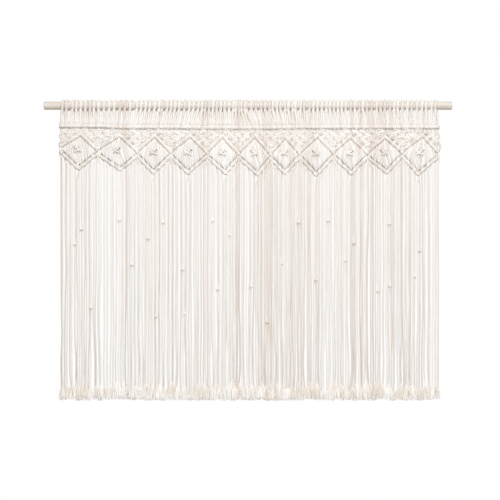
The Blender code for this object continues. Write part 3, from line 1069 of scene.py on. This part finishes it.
def combed_cotton_material():
    """The same undyed cotton, untwisted and combed loose.

    That gives the eye soft locks, like the cord at their root, with painted shade that
    darkens them from 1 at the root, where they crowd, to 0 at the tip.
    """
    material, tree = new_material("combed_out_cotton")
    tone = node(tree, "ShaderNodeAttribute", attribute_name="tone")
    tuck = node(tree, "ShaderNodeAttribute", attribute_name="tuck")
    # Painted shade darkens the locks' own tone towards the root.
    shaded_tone = node(
        tree, "ShaderNodeMath", {0: tuck.outputs["Fac"], 2: tone.outputs["Fac"]},
        operation="MULTIPLY_ADD", inputs={1: -0.6},
    )
    shade = node(tree, "ShaderNodeValToRGB", {"Fac": shaded_tone.outputs[0]})
    colour_steps(shade, ((0.0, "F3EBE2"), (0.25, "FDF9F4"), (1.0, "FFFEFC")))
    shader = node(
        tree, "ShaderNodeBsdfPrincipled", {"Base Color": shade.outputs["Color"]},
        inputs={"Roughness": 0.95, "Sheen Weight": 0.2, "Sheen Roughness": 0.6},
    )
    node(tree, "ShaderNodeOutputMaterial", {"Surface": shader.outputs["BSDF"]})
    return material


def pine_material():
    """Pine, turned to a dowel and sanded, without varnish.

    That gives the eye a pale satin surface with long straight grain.
    """
    material, tree = new_material("sanded_pine")
    coords = node(tree, "ShaderNodeTexCoord")

    # Growth rings show as lines about 4 mm apart and 80 mm long: 3 times 90, and 3 times
    # 4, to a metre. Finer grain comes from the noise's detail.
    drawn_out = node(
        tree, "ShaderNodeMapping", {"Vector": coords.outputs["Object"]},
        inputs={"Scale": (4.0, 90.0, 90.0)},
    )
    grain = node(
        tree, "ShaderNodeTexNoise", {"Vector": drawn_out.outputs["Vector"]},
        inputs={"Scale": 3.0, "Detail": 6.0, "Roughness": 0.6, "Distortion": 0.4},
    )
    shade = node(tree, "ShaderNodeValToRGB", {"Fac": grain.outputs["Fac"]})
    colour_steps(shade, ((0.3, "CCBFB6"), (0.5, "DBD0C7"), (0.7, "E6DDD4")))
    bump = node(
        tree, "ShaderNodeBump", {"Height": grain.outputs["Fac"]},
        inputs={"Strength": 0.25, "Distance": 0.0003},
    )
    shader = node(
        tree, "ShaderNodeBsdfPrincipled",
        {"Base Color": shade.outputs["Color"], "Normal": bump.outputs["Normal"]},
        inputs={"Roughness": 0.55},
    )
    node(tree, "ShaderNodeOutputMaterial", {"Surface": shader.outputs["BSDF"]})
    return material


# ---------------------------------------------------------------------------------------
# Pieces.
# ---------------------------------------------------------------------------------------

def add_piece(piece, replaced):
    """Fixes a piece to the object, and hides the CAD node that it stands for."""
    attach(piece, "root")
    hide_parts(replaced)


def build_dowel(material):
    """A turned dowel with chamfered ends and the slight unevenness of a sanded stick."""
    sides = 64
    spans = 24
    unevenness = 0.06
    half = DOWEL_LENGTH / 2
    rings = [(-half, DOWEL_RADIUS - DOWEL_CHAMFER), (-half + DOWEL_CHAMFER, DOWEL_RADIUS)]
    for step in range(1, spans):
        x = -half + DOWEL_CHAMFER + (DOWEL_LENGTH - 2 * DOWEL_CHAMFER) * step / spans
        rings.append((x, DOWEL_RADIUS - unevenness * (1 + math.sin(step * 2.4))))
    rings += [(half - DOWEL_CHAMFER, DOWEL_RADIUS), (half, DOWEL_RADIUS - DOWEL_CHAMFER)]
    points = []
    for x, radius in rings:
        for side in range(sides):
            turn = 2 * math.pi * side / sides
            y, z = radius * math.cos(turn), radius * math.sin(turn)
            points.append((x * MM, y * MM, z * MM))
    last = (len(rings) - 1) * sides
    faces = []
    for a in range(0, last, sides):
        for side in range(sides):
            after = (side + 1) % sides
            faces.append((a + side, a + after, a + sides + after, a + sides + side))
    faces.append(list(reversed(range(sides))))
    faces.append(list(range(last, last + sides)))
    mesh = bpy.data.meshes.new("pine_dowel")
    mesh.from_pydata(points, [], faces)
    mesh.shade_smooth()
    mesh.set_sharp_from_angle(angle=math.radians(35))
    mesh.materials.append(material)
    add_piece(add_object("pine_dowel", mesh), "rod")


def build_cords(cord, combed):
    """All the strands: their knotted part in four pieces, the fringe and the ends."""
    names = ("knotted_cords_1", "knotted_cords_2", "knotted_cords_3", "knotted_cords_4")
    knotwork = [CordWork() for _ in names]
    fringe = CordWork()
    ends = CordWork()
    total = COUNT * STRANDS
    # The leading strands change places, so the fringe has its own order from left to right.
    knotted = {}
    for n in range(total):
        route, order = strand_route(n)
        knotted[order] = (n, route)
    roots = {order: route[-1].x for order, (_, route) in knotted.items()}
    settled = {order: settled_place(order) for order in roots}
    clustered = clustered_places(settled)
    knots_of = {}
    for x, depth in LOOSE_KNOTS:
        nearest = min(roots, key=lambda order: abs(roots[order] - x))
        knots_of.setdefault(nearest, []).append(depth)
    for order in sorted(knotted):
        n, route = knotted[order]
        tone = shake.random()
        end = route[-1]
        fray = shake.uniform(FRAY_SHORT, FRAY_LONG)
        lowest = FRINGE_END - FRINGE_UNEVEN * shake.random() - fray
        hanging = Hanging(end.x, settled[order], clustered[order], -end.z, lowest)
        tail = fringe_route(hanging, order % 2, knots_of.get(order, ()))
        line = smooth_line(route + tail)
        cut = sum(p.parts for p in route[:-1])  # the line's row at the last hitch
        # How dark the painted shade in this strand's creases is.
        depth = shake.uniform(*(BACK_CREASE_SHADE if n % 2 else FRONT_CREASE_SHADE))
        group = knotwork[n * len(names) // total]
        group.add(line[:cut + 1], CORD_SIDES, tone, 0, depth)
        run = np.linalg.norm(np.diff(line[:cut + 1, :3], axis=0), axis=1).sum()
        fringe.add(line[cut:], FRINGE_SIDES, tone, run)
        comb_out(ends, line[-1, :3], fray, tone)
    # The level bar's leading cord.
    across = np.linspace(LEFT_EDGE - BAR_OVERHANG, RIGHT_EDGE + BAR_OVERHANG, 60)
    bar = [Point(x, 0, -bar_depth(x), parts=1) for x in across]
    knotwork[0].add(smooth_line(bar), CORD_SIDES, 0.5)
    for name, work in zip(names, knotwork):
        add_piece(work.finish(name, cord), "macrame")
    add_piece(fringe.finish("fringe_cords", cord), "fringe")
    add_piece(ends.finish("combed_out_ends", combed), "fringe")


# ---------------------------------------------------------------------------------------
# The studio, in metres.
# ---------------------------------------------------------------------------------------

def build_floor():
    """A square of smooth, pale, painted floor, far enough below to stay out of the view."""
    half = 2.4
    height = -1.75
    mesh = bpy.data.meshes.new("floor")
    outline = ((-half, -half), (half, -half), (half, half), (-half, half))
    mesh.from_pydata([(x, y, height) for x, y in outline], [], [(0, 1, 2, 3)])
    material, tree = new_material("pale_floor")
    shader = node(
        tree, "ShaderNodeBsdfPrincipled",
        inputs={"Base Color": linear("ECEAE6"), "Roughness": 0.8},
    )
    node(tree, "ShaderNodeOutputMaterial", {"Surface": shader.outputs["BSDF"]})
    mesh.materials.append(material)
    add_object("floor", mesh)


def build_surround():
    """A white surround, dimmer from below. What the viewer sees behind is plain white."""
    world = bpy.data.worlds.new("studio")
    bpy.context.scene.world = world
    world.use_nodes = True
    tree = world.node_tree
    tree.nodes.clear()
    coords = node(tree, "ShaderNodeTexCoord")
    parted = node(tree, "ShaderNodeSeparateXYZ", {"Vector": coords.outputs["Generated"]})
    height = node(
        tree, "ShaderNodeMapRange", {"Value": parted.outputs["Z"]},
        inputs={"From Min": -1.0, "From Max": 1.0},
    )
    glow = node(tree, "ShaderNodeValToRGB", {"Fac": height.outputs["Result"]})
    steps = ((0.0, "A8A6A4"), (0.45, "CCCAC8"), (0.6, "F0EFEE"), (1.0, "FFFFFF"))
    colour_steps(glow, steps)
    around = node(
        tree, "ShaderNodeBackground", {"Color": glow.outputs["Color"]},
        inputs={"Strength": 0.45},
    )
    seen = node(
        tree, "ShaderNodeBackground",
        inputs={"Color": linear("FFFFFF"), "Strength": 1.0},
    )
    path = node(tree, "ShaderNodeLightPath")
    choice = node(
        tree, "ShaderNodeMixShader",
        {0: path.outputs["Is Camera Ray"], 1: around.outputs[0], 2: seen.outputs[0]},
    )
    node(tree, "ShaderNodeOutputWorld", {"Surface": choice.outputs[0]})


def build_lamp():
    """One broad lamp, above the front and a little to the right."""
    lamp = bpy.data.lights.new("broad_lamp", "AREA")
    lamp.shape = "RECTANGLE"
    lamp.size = 2.0
    lamp.size_y = 1.3
    lamp.energy = 106
    holder = add_object("broad_lamp", lamp)
    holder.location = (0.3, -3.0, 1.5)
    holder.rotation_euler = (math.radians(59), 0, math.radians(6))


def build_camera():
    """A level camera, square on to the hanging and far enough away to see it straight."""
    distance = 4.0
    view_width = 1.472
    view_middle = (0.0059, -0.4248)
    sensor_width = 36
    camera = bpy.data.cameras.new("camera")
    camera.sensor_width = sensor_width
    camera.lens = sensor_width * distance / view_width
    holder = add_object("camera", camera)
    holder.location = (view_middle[0], -distance, view_middle[1])
    holder.rotation_euler = (math.radians(90), 0, 0)
    bpy.context.scene.camera = holder
    bpy.context.scene.view_settings.view_transform = "Standard"


build_dowel(pine_material())
build_cords(cotton_cord_material(), combed_cotton_material())
build_floor()
build_surround()
build_lamp()
build_camera()
